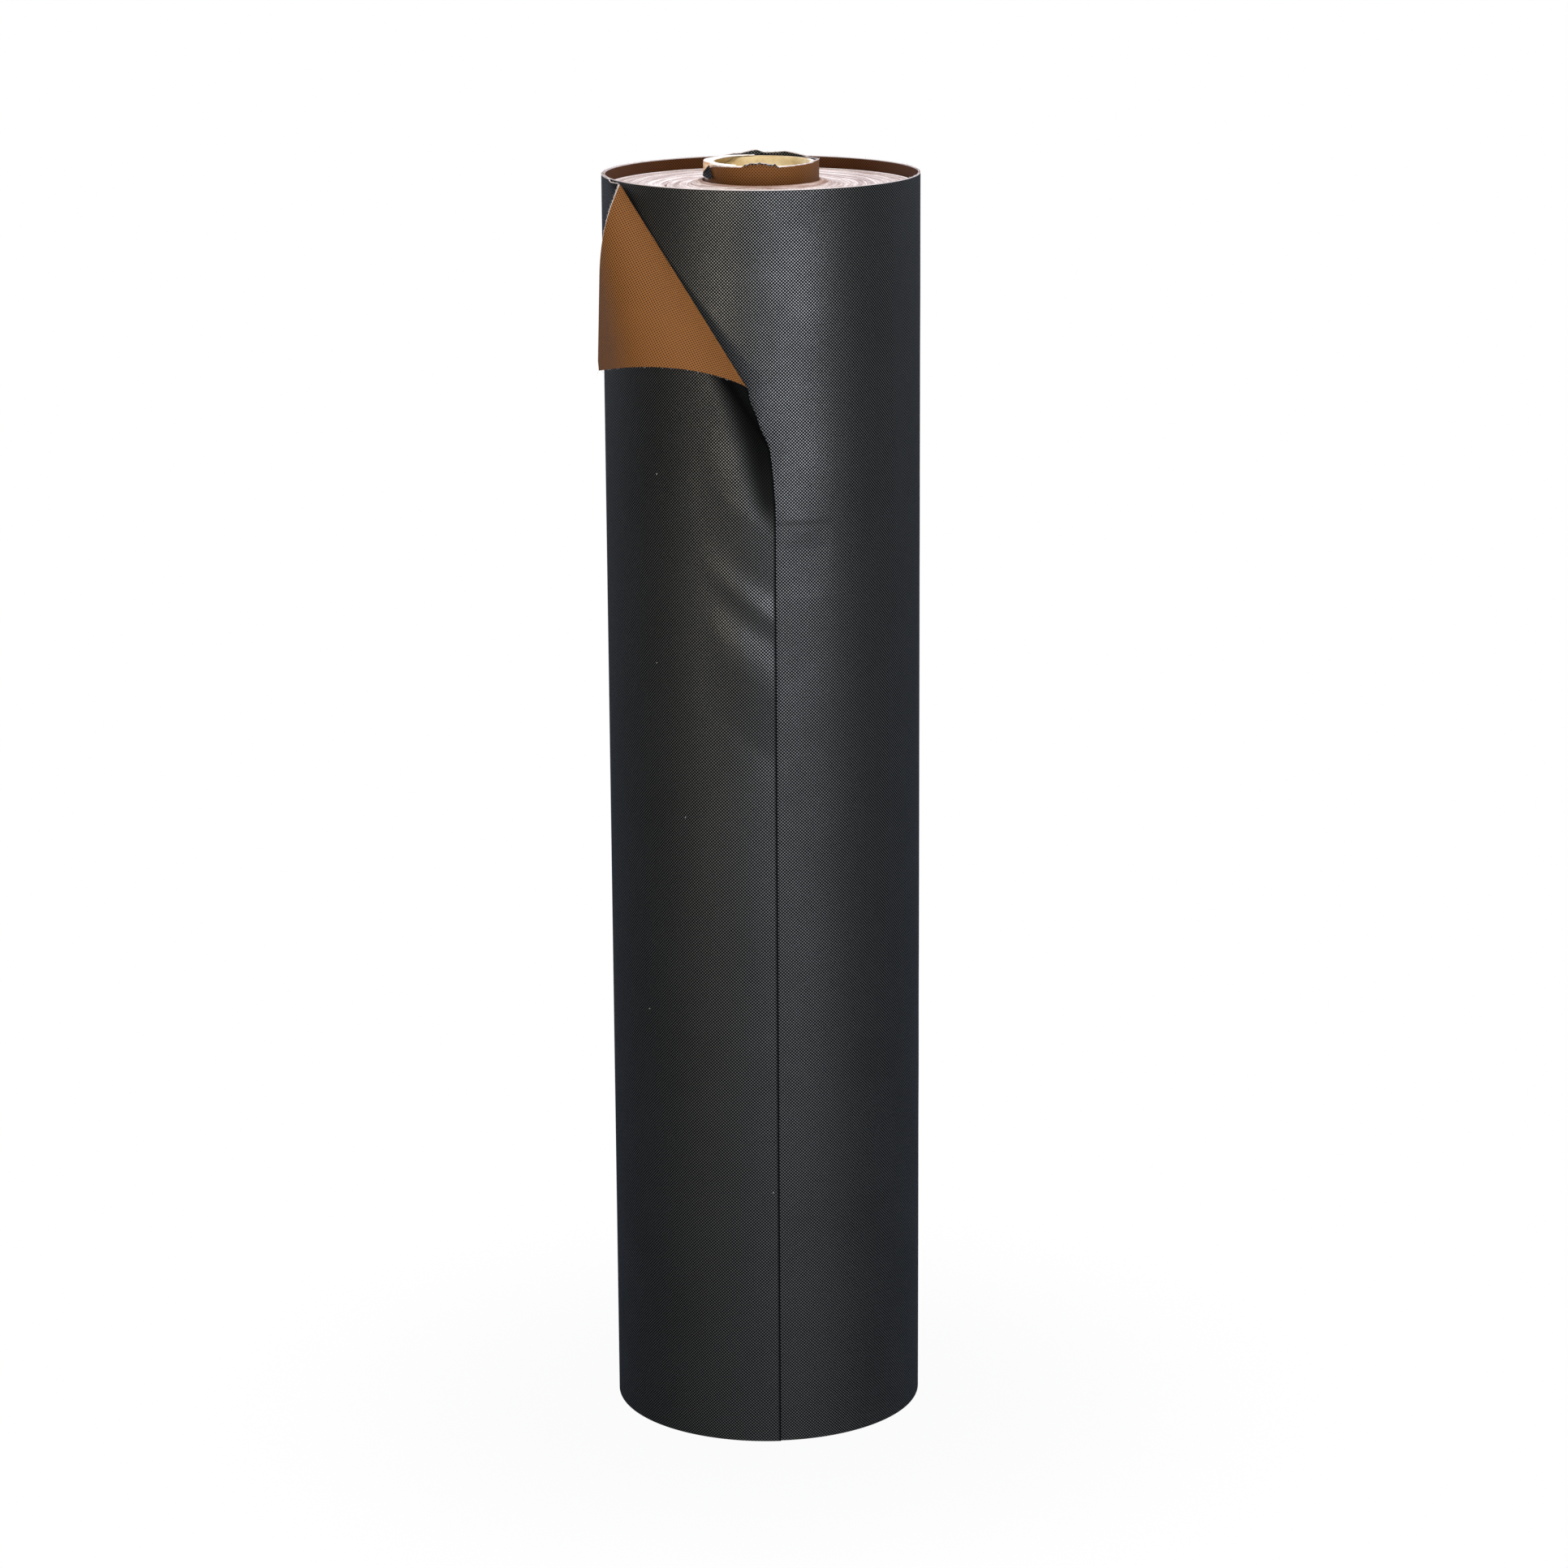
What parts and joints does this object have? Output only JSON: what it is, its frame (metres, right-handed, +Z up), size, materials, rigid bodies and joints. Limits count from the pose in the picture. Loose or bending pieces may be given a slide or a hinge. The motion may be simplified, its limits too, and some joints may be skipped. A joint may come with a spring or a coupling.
{
  "type": "roll of weed control fabric",
  "caption": "Upright roll of two-faced weed control cloth on a paper core, its loose end lying round the roll and one upper corner turned back.",
  "frame": {"origin": "on the floor, under the middle of the whole part's box; the roll's own axis stands 18.2 mm behind it, because the turned-back corner stands proud at the front", "axes": "+Z up along the roll, -Y towards the front, where the cut end of the cloth and the turned-back corner are, +X to the right"},
  "size_m": [0.2476, 0.2832, 1.0135],
  "materials": {
    "liner_board": "matte",
    "core_board": "matte",
    "outer_board": "matte",
    "cloth_brown": "matte",
    "cloth_edges": "matte",
    "cloth_black": "matte"
  },
  "bodies": {
    "roll": {"core_liner": "liner_board", "core_tube": "core_board", "core_outer_ply": "outer_board", "core_wrap": "cloth_brown", "wound_pack": "cloth_edges", "outer_turns": "cloth_black"},
    "loose_end": {"tail": "cloth_black"},
    "turned_back_corner": {"turned_corner": "cloth_brown"}
  },
  "joints": [
    {"name": "tail_peel", "type": "hinge", "parent": "roll", "child": "loose_end", "pos_m": [-0.11142, 0.07041, 0], "axis": [0, 0, -1], "range_deg": [0, 75]},
    {"name": "corner_fold", "type": "hinge", "parent": "loose_end", "child": "turned_back_corner", "pos_m": [-0.05759, -0.09824, 0.92552], "axis": [-0.4987, 0.4219, 0.7572], "range_deg": [0, 110]}
  ]
}
